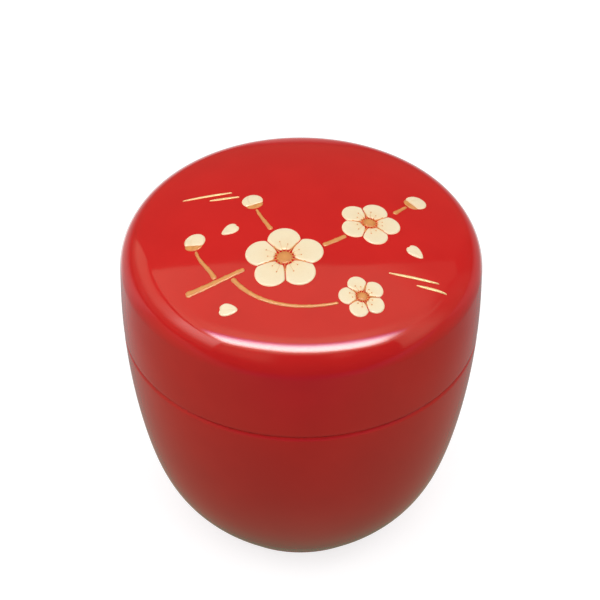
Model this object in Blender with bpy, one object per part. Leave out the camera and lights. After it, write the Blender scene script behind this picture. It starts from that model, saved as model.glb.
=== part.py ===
"""A medium natsume: a turned and lacquered tea caddy with a deep lid that slips over a standing rim.

Run it with blender --background --python part.py, or from Blender's text editor.
Units are metres. The caddy stands on z = 0 with its axis on +Z, and its front faces -Y.
"""
import math

import bmesh
import bpy
from mathutils import Vector

MM = 0.001

# Outside of the closed caddy
CADDY_RADIUS = 33.0 * MM
CADDY_HEIGHT = 68.0 * MM
FOOT_RADIUS = 17.5 * MM
SHOULDER_RADIUS = 7.2 * MM
GIRTH_BAND = 3.7 * MM
DOME_RADIUS = 78.0 * MM

# The side sweeps from the foot to the girth on one curve. Its inner control points are given
# as shares of the way out from the foot and of the way up to the girth. From there a straight
# band runs up to the shoulder.
SIDE_SWEEP = ((0.75, 0.205), (0.58, 0.266), (1.0, 0.504))

# Where the lid meets the body
SEAM_HEIGHT = 42.5 * MM
SEAM_GAP = 0.15 * MM
EDGE_EASE = 0.25 * MM
RIM_HEADROOM = 3.7 * MM
RIM_THICKNESS = 1.6 * MM
LID_CLEARANCE = 0.2 * MM

# Walls, with their inner coat
LID_WALL = 1.7 * MM
LID_TOP = 2.2 * MM
FLOOR_HEIGHT = 3.4 * MM
FLOOR_RADIUS = 17.8 * MM
FOOT_RING_WIDTH = 2.0 * MM
FOOT_RECESS = 0.8 * MM
COAT = 0.25 * MM
BOND = 0.1 * MM

# Raised decoration on the lid
RELIEF = 0.2 * MM
RELIEF_BOND = 0.08 * MM
RELIEF_SPACING = 0.3 * MM
LARGE_BLOSSOM_RADIUS = 7.2 * MM
MIDDLE_BLOSSOM_RADIUS = 5.6 * MM
SMALL_BLOSSOM_RADIUS = 4.3 * MM
EYE_SHARE = 0.2
PETALS = 5
LOBE_REACH = 0.58
STEM_WIDTH = 1.5 * MM
TWIG_WIDTH = 1.0 * MM
TWIG_TIP_WIDTH = 0.55 * MM
BUD_RADIUS = 1.9 * MM
BUD_OPENING = math.radians(125.0)
CALYX_DEPTH = 1.2 * MM
PETAL_LENGTH = 3.4 * MM
PETAL_WIDTH = 2.4 * MM
PETAL_SWELL = 0.35
MIST_WIDTH = 0.55 * MM
MIST_LENGTH = 9.0 * MM
MIST_STEP = 1.6 * MM
MIST_NARROWING = 0.7

# Each bar of mist as shares: its length, its shift to the right and its steps down
MIST_BARS = {"upper": (1.0, 0.0, 0.0), "lower": (0.6, 0.35, 1.0)}

# Plan places on the lid, x to the right and y to the back, as shares of the caddy's radius
LARGE_BLOSSOM_PLACE = (-0.090, -0.360)
MIDDLE_BLOSSOM_PLACE = (0.370, -0.060)
SMALL_BLOSSOM_PLACE = (0.330, -0.600)
BUD_PLACES = {"tip": (0.630, 0.200), "left": (-0.580, -0.170), "back": (-0.270, 0.110)}
PETAL_PLACES = {"left": (-0.390, -0.120), "front": (-0.390, -0.680), "right": (0.620, -0.230)}
MIST_PLACES = {"back": (-0.520, 0.210), "right": (0.610, -0.420)}
STEM_PLACES = ((-0.620, -0.545), (-0.420, -0.500), (-0.300, -0.400), LARGE_BLOSSOM_PLACE)

# The two inner control places of each twig's curve, and where two of them leave the stem
TWIG_PLACES = {
    "left": ((-0.50, -0.36), (-0.58, -0.34)),
    "front": ((-0.26, -0.68), (0.02, -0.76)),
    "middle": ((0.06, -0.30), (0.20, -0.25)),
    "tip": ((0.48, 0.00), (0.52, 0.08)),
    "back": ((-0.12, -0.16), (-0.22, -0.10)),
}
LEFT_FORK = 0.30
FRONT_FORK = 0.45

# Plan directions in degrees from +X: a petal of each blossom, each bud and each petal's round end
BLOSSOM_TURNS = {"large": 20.0, "middle": 0.0, "small": 40.0}
BUD_TURNS = {"tip": 46.0, "left": 80.0, "back": 109.0}
PETAL_TURNS = {"left": 34.0, "front": 172.0, "right": 138.0}

# Facets
TURNS = 64
SIDE_STATIONS = 12
LID_SIDE_STATIONS = 4
CORNER_STATIONS = 5
DOME_STATIONS = 6
LOBE_POINTS = 8
EYE_POINTS = 20
BUD_POINTS = 16
CURVE_SAMPLES = 400
TWIG_STATIONS = 11
MIST_STATIONS = 7
SHARP_ANGLE = math.radians(35.0)

# Colours as linear red, green, blue
VERMILION = (0.62, 0.017, 0.015)
BLACK = (0.008, 0.007, 0.007)
CREAM = (0.93, 0.78, 0.54)
TAN = (0.80, 0.36, 0.10)
PALE_GOLD = (0.90, 0.66, 0.32)

# Sizes that follow from the walls and the fit
LID_BORE = CADDY_RADIUS - LID_WALL
RIM_RADIUS = LID_BORE - LID_CLEARANCE
CHAMBER_RADIUS = RIM_RADIUS - RIM_THICKNESS
CEILING_CORNER = SHOULDER_RADIUS - LID_TOP
STEP_HEIGHT = SEAM_HEIGHT - SEAM_GAP / 2
LID_EDGE_HEIGHT = SEAM_HEIGHT + SEAM_GAP / 2
SKIN = COAT + BOND
DOME_CENTRE = CADDY_HEIGHT - DOME_RADIUS


def corner_height(side_radius, corner_radius, inset):
    """The height at which a rounded corner under the dome runs into its straight side."""
    reach = DOME_RADIUS - inset - corner_radius
    return DOME_CENTRE + math.sqrt(reach ** 2 - (side_radius - corner_radius) ** 2)


# Heights that hang from the dome: the girth outside, and the rim's top under the ceiling
GIRTH_HEIGHT = corner_height(CADDY_RADIUS, SHOULDER_RADIUS, 0.0) - GIRTH_BAND
RIM_TOP = corner_height(LID_BORE, CEILING_CORNER, LID_TOP) - RIM_HEADROOM


def clear_scene():
    for item in list(bpy.data.objects):
        bpy.data.objects.remove(item, do_unlink=True)


def lacquer(name, colour, roughness, metallic=0.0):
    material = bpy.data.materials.new(name)
    material.use_nodes = True
    shader = material.node_tree.nodes["Principled BSDF"]
    shader.inputs["Base Color"].default_value = (*colour, 1.0)
    shader.inputs["Roughness"].default_value = roughness
    shader.inputs["Metallic"].default_value = metallic
    return material


def axis_empty(name, height, parent=None):
    """An empty on the caddy's axis that carries the pieces made around it."""
    empty = bpy.data.objects.new(name, None)
    empty.empty_display_size = CADDY_RADIUS / 3
    bpy.context.collection.objects.link(empty)
    empty.location = (0.0, 0.0, height)
    empty.parent = parent
    return empty


def add_piece(name, shape, material, carrier):
    """Close a shape into one named object. It was drawn in the caddy's frame and hangs on its carrier."""
    bmesh.ops.recalc_face_normals(shape, faces=shape.faces)
    bmesh.ops.translate(shape, verts=shape.verts, vec=-carrier.location)
    mesh = bpy.data.meshes.new(name)
    shape.to_mesh(mesh)
    shape.free()
    mesh.shade_smooth()
    mesh.set_sharp_from_angle(angle=SHARP_ANGLE)
    mesh.materials.append(material)
    piece = bpy.data.objects.new(name, mesh)
    bpy.context.collection.objects.link(piece)
    piece.parent = carrier
    return piece


def turned_piece(name, profile, material, carrier):
    """Turn a profile of (radius, height) once about the axis."""
    shape = bmesh.new()
    corners = [shape.verts.new((radius, 0.0, height)) for radius, height in profile]
    edges = [shape.edges.new(pair) for pair in zip(corners, corners[1:])]
    if profile[0][0] > 0.0:
        edges.append(shape.edges.new((corners[-1], corners[0])))
    bmesh.ops.spin(
        shape, geom=corners + edges, cent=(0.0, 0.0, 0.0), axis=(0.0, 0.0, 1.0),
        angle=2 * math.pi, steps=TURNS, use_merge=True,
    )
    bmesh.ops.remove_doubles(shape, verts=shape.verts, dist=BOND / 1000)
    return add_piece(name, shape, material, carrier)


def bezier(controls, share):
    """A point on the Bezier curve of any number of control points, by repeated blending."""
    while len(controls) > 1:
        controls = [
            tuple((1.0 - share) * a + share * b for a, b in zip(first, second))
            for first, second in zip(controls, controls[1:])
        ]
    return controls[0]


class SideCurve:
    """The swept side of the vessel, from a foot corner out and up to the girth."""

    def __init__(self, foot_radius, foot_height, girth_radius, girth_height):
        out = girth_radius - foot_radius
        rise = girth_height - foot_height
        self.controls = [(foot_radius, foot_height)]
        for share_out, share_up in SIDE_SWEEP:
            self.controls.append((foot_radius + share_out * out, foot_height + share_up * rise))
        self.controls.append((girth_radius, girth_height))

    def share_at(self, height):
        """How far along the curve it reaches a height, found by halving."""
        low, high = 0.0, 1.0
        for _ in range(50):
            middle = (low + high) / 2
            if bezier(self.controls, middle)[1] < height:
                low = middle
            else:
                high = middle
        return (low + high) / 2

    def stretch(self, from_height, to_height, stations):
        start = self.share_at(from_height)
        end = self.share_at(to_height)
        steps = [start + (end - start) * i / (stations - 1) for i in range(stations)]
        points = [bezier(self.controls, step) for step in steps]
        points[0] = (points[0][0], from_height)
        points[-1] = (points[-1][0], to_height)
        return points


def outside():
    return SideCurve(FOOT_RADIUS, 0.0, CADDY_RADIUS, GIRTH_HEIGHT)


def chamber_wall(back):
    """The tea chamber's wall from the floor to the rim, moved back into the wood by a distance."""
    wall = SideCurve(FLOOR_RADIUS + back, FLOOR_HEIGHT - back, CHAMBER_RADIUS + back, RIM_TOP)
    return wall.stretch(FLOOR_HEIGHT - back, SEAM_HEIGHT, SIDE_STATIONS)


def crown(side_radius, corner_radius, inset):
    """The domed top and its rounded corner, from the axis out to the side, inset from the outside."""
    dome = DOME_RADIUS - inset
    corner = side_radius - corner_radius
    height = corner_height(side_radius, corner_radius, inset)
    lean = math.atan2(corner, height - DOME_CENTRE)
    points = []
    for i in range(DOME_STATIONS):
        angle = lean * i / DOME_STATIONS
        points.append((dome * math.sin(angle), DOME_CENTRE + dome * math.cos(angle)))
    for i in range(CORNER_STATIONS + 1):
        angle = lean + (math.pi / 2 - lean) * i / CORNER_STATIONS
        rise = corner_radius * math.cos(angle)
        points.append((corner + corner_radius * math.sin(angle), height + rise))
    return points


def make_body(material, carrier):
    """The turned body with its foot ring, the step that the lid rests on and the standing rim."""
    hollow = [(0.0, FLOOR_HEIGHT - SKIN), *chamber_wall(SKIN)]
    rim = [
        (CHAMBER_RADIUS + SKIN, RIM_TOP - SKIN),
        (RIM_RADIUS - SKIN, RIM_TOP - SKIN),
        (RIM_RADIUS - SKIN, STEP_HEIGHT),
    ]
    side = outside().stretch(0.0, STEP_HEIGHT - EDGE_EASE, SIDE_STATIONS)
    step_edge = (side[-1][0] - EDGE_EASE, STEP_HEIGHT)
    ring_radius = FOOT_RADIUS - FOOT_RING_WIDTH
    foot = [(ring_radius, 0.0), (ring_radius - FOOT_RECESS, FOOT_RECESS), (0.0, FOOT_RECESS)]
    profile = hollow + rim + [step_edge] + side[::-1] + foot
    return turned_piece("body_shell", profile, material, carrier)


def make_body_coat(material, carrier):
    """The inner coat of the body: floor, chamber wall, over the rim and down to the step."""
    face = [(0.0, FLOOR_HEIGHT), *chamber_wall(0.0)]
    over = [
        (CHAMBER_RADIUS, RIM_TOP),
        (RIM_RADIUS, RIM_TOP),
        (RIM_RADIUS, STEP_HEIGHT + BOND),
        (RIM_RADIUS - COAT, STEP_HEIGHT + BOND),
        (RIM_RADIUS - COAT, RIM_TOP - COAT),
        (CHAMBER_RADIUS + COAT, RIM_TOP - COAT),
    ]
    back = [*chamber_wall(COAT)[::-1], (0.0, FLOOR_HEIGHT - COAT)]
    return turned_piece("body_inner_coat", face + over + back, material, carrier)


def make_lid(material, carrier):
    """The turned lid: dome, rounded shoulder and a side that carries the body's curve on."""
    side = outside().stretch(LID_EDGE_HEIGHT + EDGE_EASE, GIRTH_HEIGHT, LID_SIDE_STATIONS)
    edge = [(side[0][0] - EDGE_EASE, LID_EDGE_HEIGHT), (LID_BORE + SKIN, LID_EDGE_HEIGHT)]
    ceiling = crown(LID_BORE + SKIN, CEILING_CORNER + SKIN, LID_TOP - SKIN)
    profile = crown(CADDY_RADIUS, SHOULDER_RADIUS, 0.0) + side[::-1] + edge + ceiling[::-1]
    return turned_piece("lid_shell", profile, material, carrier)


def make_lid_coat(material, carrier):
    """The inner coat of the lid, a skin over its ceiling and bore."""
    back = crown(LID_BORE + COAT, CEILING_CORNER + COAT, LID_TOP - COAT)
    edge = [(LID_BORE + COAT, LID_EDGE_HEIGHT), (LID_BORE, LID_EDGE_HEIGHT)]
    face = crown(LID_BORE, CEILING_CORNER, LID_TOP)
    return turned_piece("lid_inner_coat", back + edge + face[::-1], material, carrier)


def place(shares):
    """A plan point of the decoration, from its shares of the caddy's radius."""
    return Vector(shares) * CADDY_RADIUS


def crown_height(distance, lift):
    """The height of a surface lifted off the lid's dome and shoulder, at a distance from the axis."""
    corner = CADDY_RADIUS - SHOULDER_RADIUS
    dome = DOME_RADIUS + lift
    if distance < dome * corner / (DOME_RADIUS - SHOULDER_RADIUS):
        return DOME_CENTRE + math.sqrt(dome ** 2 - distance ** 2)
    rise = math.sqrt((SHOULDER_RADIUS + lift) ** 2 - (distance - corner) ** 2)
    return corner_height(CADDY_RADIUS, SHOULDER_RADIUS, 0.0) + rise


def on_lid(shape, point):
    """A corner of a raised field's underside, laid over the lid."""
    return shape.verts.new((point.x, point.y, crown_height(point.length, RELIEF_BOND)))


def add_raised_piece(name, shape, material, carrier):
    """Thicken a sheet on the lid, whose faces look up, into a plate of the relief's height."""
    shape.normal_update()
    bmesh.ops.solidify(shape, geom=shape.faces, thickness=-RELIEF)
    return add_piece(name, shape, material, carrier)


def raised_field(name, rings, material, carrier):
    """A plate bounded by closed rings of plan points, outermost first.

    The last ring bounds a hole, or is one point in the middle of the field.
    """
    shape = bmesh.new()
    laid = [[on_lid(shape, point) for point in ring] for ring in rings]
    for outer, inner in zip(laid, laid[1:]):
        for i, corner in enumerate(outer):
            after = (i + 1) % len(outer)
            if len(inner) == 1:
                shape.faces.new((corner, outer[after], inner[0]))
            else:
                shape.faces.new((corner, outer[after], inner[after], inner[i]))
    return add_raised_piece(name, shape, material, carrier)


def raised_line(name, path, widths, material, carrier):
    """A plate along a plan path, as wide as each station says."""
    shape = bmesh.new()
    sides = []
    for i, point in enumerate(path):
        along = (path[min(i + 1, len(path) - 1)] - path[max(i - 1, 0)]).normalized()
        across = Vector((-along.y, along.x)) * widths[i] / 2
        sides.append((on_lid(shape, point - across), on_lid(shape, point + across)))
    for (right, left), (next_right, next_left) in zip(sides, sides[1:]):
        shape.faces.new((right, next_right, next_left, left))
    return add_raised_piece(name, shape, material, carrier)


def polar(centre, distance, angle):
    return centre + distance * Vector((math.cos(angle), math.sin(angle)))


def lobed_ring(centre, radius, turn):
    """The outline of five round petals, each an arc about its own centre."""
    reach = LOBE_REACH * radius
    lobe = radius - reach
    half = math.pi / PETALS
    ring = []
    for petal in range(PETALS):
        for i in range(LOBE_POINTS):
            swing = -half + 2 * half * i / LOBE_POINTS
            across = reach * math.sin(swing)
            distance = reach * math.cos(swing) + math.sqrt(lobe ** 2 - across ** 2)
            ring.append(polar(centre, distance, turn + 2 * half * petal + swing))
    return ring


def round_ring(centre, radius, turn, count):
    return [polar(centre, radius, turn + 2 * math.pi * i / count) for i in range(count)]


def make_blossom(name, centre, radius, turn, materials, carrier):
    """A blossom seen from above: five petals in one field, and the eye set in its middle."""
    eye_radius = EYE_SHARE * radius
    petals = lobed_ring(centre, radius, turn)
    hole = round_ring(centre, eye_radius + BOND, turn - math.pi / PETALS, len(petals))
    middle = [petal.lerp(inner, 0.5) for petal, inner in zip(petals, hole)]
    raised_field("blossom_" + name, [petals, middle, hole], materials["cream"], carrier)
    eye = round_ring(centre, eye_radius, turn, EYE_POINTS)
    raised_field("eye_" + name, [eye, [centre]], materials["tan"], carrier)


def make_bud(name, centre, angle, materials, carrier):
    """A closed bud, round at its tip and cut straight where its calyx holds it."""
    steps = [2 * i / BUD_POINTS - 1 for i in range(BUD_POINTS + 1)]
    bud = [polar(centre, BUD_RADIUS, angle + BUD_OPENING * step) for step in steps]
    raised_field("bud_" + name, [bud, [centre]], materials["cream"], carrier)
    along = polar(Vector((0.0, 0.0)), 1.0, angle)
    across = Vector((-along.y, along.x)) * BUD_RADIUS * math.sin(BUD_OPENING)
    cut = centre + (BUD_RADIUS * math.cos(BUD_OPENING) - BOND) * along
    swings = [math.pi * i / (BUD_POINTS // 2) for i in range(BUD_POINTS // 2 + 1)]
    calyx = [cut - CALYX_DEPTH * math.sin(s) * along + math.cos(s) * across for s in swings]
    raised_field("calyx_" + name, [calyx, [cut - CALYX_DEPTH / 3 * along]], materials["tan"], carrier)


def make_petal(name, centre, angle, materials, carrier):
    """A fallen petal, egg shaped with its narrow end at the back."""
    along = polar(Vector((0.0, 0.0)), 1.0, angle)
    across = Vector((-along.y, along.x))
    ring = []
    for i in range(BUD_POINTS):
        swing = 2 * math.pi * i / BUD_POINTS
        swell = 1.0 + PETAL_SWELL * math.cos(swing)
        reach = PETAL_LENGTH / 2 * math.cos(swing)
        ring.append(centre + reach * along + PETAL_WIDTH / 2 * math.sin(swing) * swell * across)
    raised_field("petal_" + name, [ring, [centre]], materials["cream"], carrier)


def make_twig(name, controls, stops, widths, materials, carrier):
    """A tapering twig along a curve, left out inside its stops, each a (centre, radius)."""
    path = [Vector(bezier(controls, i / CURVE_SAMPLES)) for i in range(CURVE_SAMPLES + 1)]
    for centre, radius in stops:
        path = [point for point in path if (point - centre).length > radius + RELIEF_SPACING]
    steps = [i / (TWIG_STATIONS - 1) for i in range(TWIG_STATIONS)]
    stations = [path[round(step * (len(path) - 1))] for step in steps]
    first, last = widths
    taper = [first + (last - first) * step for step in steps]
    raised_line("twig_" + name, stations, taper, materials["tan"], carrier)


def make_mist(name, centre, materials, carrier):
    """Two bars of mist, slender straight lines that narrow to their ends, one set below the other."""
    steps = [2 * i / (MIST_STATIONS - 1) - 1 for i in range(MIST_STATIONS)]
    widths = [MIST_WIDTH * (1.0 - MIST_NARROWING * abs(step) ** 3) for step in steps]
    for bar, (length, shift, drop) in MIST_BARS.items():
        middle = centre + Vector((shift * MIST_LENGTH, -drop * MIST_STEP))
        path = [middle + Vector((length * MIST_LENGTH / 2 * step, 0.0)) for step in steps]
        raised_line("mist_" + name + "_" + bar, path, widths, materials["gold"], carrier)


def make_decoration(materials, carrier):
    """A plum sprig with blossoms, buds, fallen petals and bars of mist, laid out in plan."""
    blossoms = {
        "large": (place(LARGE_BLOSSOM_PLACE), LARGE_BLOSSOM_RADIUS),
        "middle": (place(MIDDLE_BLOSSOM_PLACE), MIDDLE_BLOSSOM_RADIUS),
        "small": (place(SMALL_BLOSSOM_PLACE), SMALL_BLOSSOM_RADIUS),
    }
    for name, (centre, radius) in blossoms.items():
        turn = math.radians(BLOSSOM_TURNS[name])
        make_blossom(name, centre, radius, turn, materials, carrier)
    bud_reach = BUD_RADIUS * abs(math.cos(BUD_OPENING)) + BOND + CALYX_DEPTH
    buds = {name: (place(shares), bud_reach) for name, shares in BUD_PLACES.items()}
    for name, turn in BUD_TURNS.items():
        make_bud(name, buds[name][0], math.radians(turn), materials, carrier)
    for name, turn in PETAL_TURNS.items():
        make_petal(name, place(PETAL_PLACES[name]), math.radians(turn), materials, carrier)
    for name, shares in MIST_PLACES.items():
        make_mist(name, place(shares), materials, carrier)

    stem = [place(shares) for shares in STEM_PLACES]
    forks = {
        "left": (Vector(bezier(stem, LEFT_FORK)), STEM_WIDTH / 2),
        "front": (Vector(bezier(stem, FRONT_FORK)), STEM_WIDTH / 2),
    }
    large = blossoms["large"]
    middle = blossoms["middle"]
    make_twig("stem", stem, [large], (STEM_WIDTH, TWIG_WIDTH), materials, carrier)
    for name, start, end, tip_width in (
        ("left", forks["left"], buds["left"], TWIG_TIP_WIDTH),
        ("front", forks["front"], blossoms["small"], TWIG_TIP_WIDTH),
        ("middle", large, middle, TWIG_WIDTH),
        ("tip", middle, buds["tip"], TWIG_TIP_WIDTH),
        ("back", large, buds["back"], TWIG_TIP_WIDTH),
    ):
        controls = [start[0], *(place(shares) for shares in TWIG_PLACES[name]), end[0]]
        make_twig(name, controls, [start, end, large], (TWIG_WIDTH, tip_width), materials, carrier)


def main():
    clear_scene()
    vermilion = lacquer("vermilion_lacquer", VERMILION, 0.08)
    black = lacquer("black_lacquer", BLACK, 0.15)
    relief = {
        "cream": lacquer("cream_relief", CREAM, 0.35),
        "tan": lacquer("tan_relief", TAN, 0.35),
        "gold": lacquer("pale_gold_relief", PALE_GOLD, 0.3, metallic=0.3),
    }
    body_axis = axis_empty("body_axis", 0.0)
    lid_axis = axis_empty("lid_axis", SEAM_HEIGHT, body_axis)
    make_body(vermilion, body_axis)
    make_body_coat(black, body_axis)
    make_lid(vermilion, lid_axis)
    make_lid_coat(black, lid_axis)
    make_decoration(relief, lid_axis)


main()
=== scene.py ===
"""Looks of a medium natsume: vermilion lacquer over a turned core, with a raised plum sprig on the lid."""
import math

import bmesh
import bpy
from mathutils import Matrix, Vector


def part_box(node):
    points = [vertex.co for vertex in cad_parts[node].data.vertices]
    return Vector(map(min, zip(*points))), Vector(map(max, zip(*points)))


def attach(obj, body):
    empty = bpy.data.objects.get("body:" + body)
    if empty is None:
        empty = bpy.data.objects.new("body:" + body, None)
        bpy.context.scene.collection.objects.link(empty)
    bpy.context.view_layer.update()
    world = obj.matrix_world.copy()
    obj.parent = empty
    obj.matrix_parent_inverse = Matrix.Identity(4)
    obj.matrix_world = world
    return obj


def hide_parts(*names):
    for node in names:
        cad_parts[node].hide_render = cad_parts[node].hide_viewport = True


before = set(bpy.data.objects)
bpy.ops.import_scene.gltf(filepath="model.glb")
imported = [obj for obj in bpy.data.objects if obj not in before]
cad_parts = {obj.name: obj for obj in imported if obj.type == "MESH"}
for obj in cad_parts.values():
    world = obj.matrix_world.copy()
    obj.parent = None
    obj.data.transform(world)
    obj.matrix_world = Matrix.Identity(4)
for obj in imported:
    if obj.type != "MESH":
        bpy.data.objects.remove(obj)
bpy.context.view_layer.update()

# Body: a cup turned from one block of close-grained wood, swept out from a narrow foot to the girth.
# Its outside, foot ring and the step for the lid wear many coats of vermilion lacquer, each ground
# flat with charcoal, the last one polished to a mirror.
MM = 0.001
LID_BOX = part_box("lid_shell")
LID_COAT_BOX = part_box("lid_inner_coat")
BODY_COAT_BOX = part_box("body_inner_coat")
CADDY_RADIUS = LID_BOX[1].x
CADDY_HEIGHT = LID_BOX[1].z
FOOT_RADIUS = 17.5 * MM
SHOULDER_RADIUS = 7.2 * MM
GIRTH_BAND = 3.7 * MM
DOME_RADIUS = 78.0 * MM
SIDE_SWEEP = ((0.75, 0.205), (0.58, 0.266), (1.0, 0.504))
SEAM_GAP = 0.06 * MM
BODY_EASE = 1.2 * MM
BODY_EASE_LEAN = 28.0
LIP_ROUND = 0.12 * MM
SWEEP_SAMPLES = 4000
SIDE_STATIONS = 90
BORE_BACK_STATIONS = 24
EASE_STATIONS = 12
LIP_STATIONS = 7
LID_EDGE_HEIGHT = LID_BOX[0].z
STEP_HEIGHT = LID_EDGE_HEIGHT - SEAM_GAP
RIM_RADIUS = BODY_COAT_BOX[1].x
RIM_TOP = BODY_COAT_BOX[1].z
RIM_THICKNESS = 1.6 * MM
CHAMBER_RADIUS = RIM_RADIUS - RIM_THICKNESS
FLOOR_RADIUS = 17.8 * MM
COAT = 0.25 * MM
FLOOR_HEIGHT = BODY_COAT_BOX[0].z + COAT
FOOT_RING_WIDTH = 2.0 * MM
FOOT_RECESS = 0.8 * MM
FOOT_ROUND = 0.35 * MM
DOME_CENTRE = CADDY_HEIGHT - DOME_RADIUS
SHOULDER_CENTRE = CADDY_RADIUS - SHOULDER_RADIUS
SHOULDER_HEIGHT = DOME_CENTRE + math.sqrt((DOME_RADIUS - SHOULDER_RADIUS) ** 2 - SHOULDER_CENTRE ** 2)
GIRTH_HEIGHT = SHOULDER_HEIGHT - GIRTH_BAND
TURNS = 240
VERMILION = (0.635, 0.0170, 0.0155)
DEEP_VERMILION = (0.595, 0.0155, 0.0145)
# Dark brown: the undercoat where the foot is worn, and painted shade along the seam under the lid.
UNDERCOAT_AND_SEAM_SHADE = (0.10, 0.012, 0.010)


def sweep(share, foot_radius, foot_height, girth_radius, girth_height):
    """A point of the vessel's swept side, as radius and height, on one Bezier curve."""
    controls = [(0.0, 0.0), *SIDE_SWEEP, (1.0, 1.0)]
    while len(controls) > 1:
        controls = [
            tuple((1.0 - share) * a + share * b for a, b in zip(first, second))
            for first, second in zip(controls, controls[1:])
        ]
    out, up = controls[0]
    radius = foot_radius + out * (girth_radius - foot_radius)
    return radius, foot_height + up * (girth_height - foot_height)


def swept_side(ends, low, high, stations):
    """The part of a swept side between two heights. Its ends are those of the whole sweep."""
    fine = [sweep(i / SWEEP_SAMPLES, *ends) for i in range(SWEEP_SAMPLES + 1)]
    inside = [point for point in fine if low < point[1] < high]
    picked = [inside[round(i * (len(inside) - 1) / (stations - 1))] for i in range(stations)]
    return [(picked[0][0], low)] + picked[1:-1] + [(picked[-1][0], high)]


def arc(centre, radius, start, end, stations):
    """A round stretch of a profile. Angles are in degrees from the outward direction, upwards."""
    angles = [math.radians(start + (end - start) * i / (stations - 1)) for i in range(stations)]
    return [(centre[0] + radius * math.cos(a), centre[1] + radius * math.sin(a)) for a in angles]


def arc_from(end, radius, start, last, stations):
    """Carry a profile on from its end in an arc between two angles. The end itself isn't repeated."""
    angle = math.radians(start)
    centre = (end[0] - radius * math.cos(angle), end[1] - radius * math.sin(angle))
    return arc(centre, radius, start, last, stations)[1:]


def eased(end, before, rise, lean):
    """Carry a side on through a rise or a drop, in a slow round from its own slope to a lean in degrees."""
    slope = -math.degrees(math.atan((end[0] - before[0]) / (end[1] - before[1])))
    radius = rise / (math.sin(math.radians(lean)) - math.sin(math.radians(slope)))
    return arc_from(end, radius, slope, lean, EASE_STATIONS)


def lip(end, lean, last):
    """Round an edge off from the lean of its side to a last angle, both in degrees."""
    return arc_from(end, LIP_ROUND, lean, last, LIP_STATIONS)


def turn(name, profile):
    """Turn a closed profile of (radius, height) about the axis into a smooth object."""
    mesh = bpy.data.meshes.new(name)
    points = []
    faces = []
    for i in range(TURNS):
        swing = 2 * math.pi * i / TURNS
        points += [(r * math.cos(swing), r * math.sin(swing), z) for r, z in profile]
    count = len(profile)
    for i in range(TURNS):
        here = i * count
        there = (i + 1) % TURNS * count
        for j in range(count):
            after = (j + 1) % count
            faces.append((here + j, there + j, there + after, here + after))
    mesh.from_pydata(points, [], faces)
    shape = bmesh.new()
    shape.from_mesh(mesh)
    bmesh.ops.remove_doubles(shape, verts=shape.verts, dist=0.001 * MM)
    bmesh.ops.dissolve_degenerate(shape, edges=shape.edges, dist=0.0001 * MM)
    bmesh.ops.recalc_face_normals(shape, faces=shape.faces)
    shape.to_mesh(mesh)
    shape.free()
    mesh.shade_smooth()
    mesh.set_sharp_from_angle(angle=math.radians(40.0))
    piece = bpy.data.objects.new(name, mesh)
    bpy.context.collection.objects.link(piece)
    return piece


def new_finish(name, colour, roughness):
    """A material whose Principled shader holds the values that are the same all over."""
    material = bpy.data.materials.new(name)
    material.use_nodes = True
    shader = material.node_tree.nodes["Principled BSDF"]
    shader.inputs["Base Color"].default_value = (*colour, 1.0)
    shader.inputs["Roughness"].default_value = roughness
    shader.inputs["IOR"].default_value = 1.5
    return material, shader


def own_place(material):
    """The place on the piece, which moves with it."""
    return material.node_tree.nodes.new("ShaderNodeTexCoord").outputs["Object"]


def grain(material, place, size, detail=2.0, stretch=(1.0, 1.0, 1.0)):
    """Noise whose spots are about one size in metres, drawn out along an axis where asked."""
    nodes = material.node_tree.nodes
    links = material.node_tree.links
    mapping = nodes.new("ShaderNodeMapping")
    mapping.inputs["Scale"].default_value = [1.0 / (size * s) for s in stretch]
    links.new(place, mapping.inputs["Vector"])
    noise = nodes.new("ShaderNodeTexNoise")
    noise.inputs["Scale"].default_value = 1.0
    noise.inputs["Detail"].default_value = detail
    links.new(mapping.outputs["Vector"], noise.inputs["Vector"])
    return noise.outputs["Fac"]


def spread(material, value, low, high, to_low, to_high):
    """A value taken from one span to another and held within it."""
    ranged = material.node_tree.nodes.new("ShaderNodeMapRange")
    for name, number in (("From Min", low), ("From Max", high), ("To Min", to_low), ("To Max", to_high)):
        ranged.inputs[name].default_value = number
    material.node_tree.links.new(value, ranged.inputs["Value"])
    return ranged.outputs["Result"]


def blended(material, share, first, second):
    """Two colours mixed by a share. Each is a colour or comes out of another node."""
    mix = material.node_tree.nodes.new("ShaderNodeMix")
    mix.data_type = "RGBA"
    material.node_tree.links.new(share, mix.inputs[0])
    for socket, colour in ((mix.inputs[6], first), (mix.inputs[7], second)):
        if isinstance(colour, tuple):
            socket.default_value = (*colour, 1.0)
        else:
            material.node_tree.links.new(colour, socket)
    return mix.outputs[2]


def computed(material, operation, first, second=0.0):
    """One step of arithmetic. Each value is a number or comes out of another node."""
    step = material.node_tree.nodes.new("ShaderNodeMath")
    step.operation = operation
    for socket, value in zip(step.inputs, (first, second)):
        if isinstance(value, float):
            socket.default_value = value
        else:
            material.node_tree.links.new(value, socket)
    return step.outputs["Value"]


def bumped(material, shader, layers):
    """Raise the surface by layers of (height from 0 to 1, its real height in metres)."""
    normal = None
    for height, real in layers:
        bump = material.node_tree.nodes.new("ShaderNodeBump")
        bump.inputs["Distance"].default_value = real
        material.node_tree.links.new(height, bump.inputs["Height"])
        if normal is not None:
            material.node_tree.links.new(normal, bump.inputs["Normal"])
        normal = bump.outputs["Normal"]
    material.node_tree.links.new(normal, shader.inputs["Normal"])


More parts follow.
